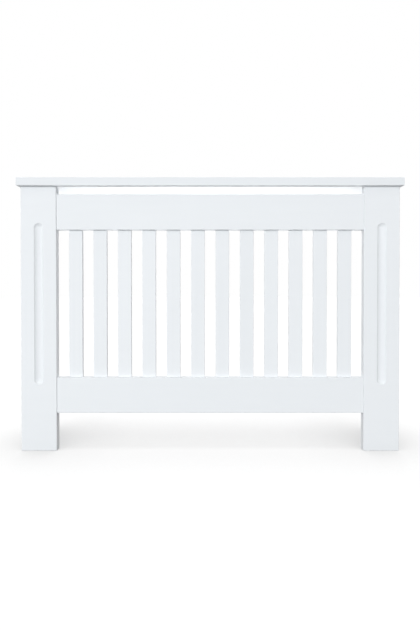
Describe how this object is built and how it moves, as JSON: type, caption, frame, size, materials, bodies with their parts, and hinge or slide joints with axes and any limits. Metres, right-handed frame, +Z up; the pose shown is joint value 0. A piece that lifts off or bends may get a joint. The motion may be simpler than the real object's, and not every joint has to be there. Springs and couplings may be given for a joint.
{
  "type": "radiator cover cabinet",
  "caption": "Slatted radiator cover cabinet with an overhanging shelf, grooved legs, open base and notched side panels, held to the wall by angle brackets.",
  "frame": {"origin": "on the floor, under the middle of the cabinet", "axes": "+X to the right seen from the front, +Y towards the wall, +Z up"},
  "size_m": [1.118, 0.19, 0.795],
  "materials": {
    "white_paint": "satin white lacquer sprayed on fibreboard",
    "bare_beech": "bare fluted beech",
    "cast_zinc": "dull die-cast zinc",
    "plated_steel": "bright zinc plate",
    "bracket_steel": "bright zinc plate, pressed sheet"
  },
  "bodies": {
    "root": {"top_shelf": "white_paint", "left_leg": "white_paint", "right_leg": "white_paint", "left_side_panel": "white_paint", "right_side_panel": "white_paint", "top_rail": "white_paint", "bottom_rail": "white_paint", "slat_01": "white_paint", "slat_02": "white_paint", "slat_03": "white_paint", "slat_04": "white_paint", "slat_05": "white_paint", "slat_06": "white_paint", "slat_07": "white_paint", "slat_08": "white_paint", "slat_09": "white_paint", "slat_10": "white_paint", "slat_11": "white_paint", "slat_12": "white_paint", "shelf_dowels": "bare_beech", "left_leg_dowel": "bare_beech", "right_leg_dowel": "bare_beech", "shelf_cam_locks": "cast_zinc", "left_leg_cam_locks": "cast_zinc", "right_leg_cam_locks": "cast_zinc", "shelf_cam_bolts": "plated_steel", "left_leg_cam_bolts": "plated_steel", "right_leg_cam_bolts": "plated_steel", "bracket_screws": "plated_steel", "left_wall_bracket": "bracket_steel", "right_wall_bracket": "bracket_steel"}
  },
  "joints": []
}
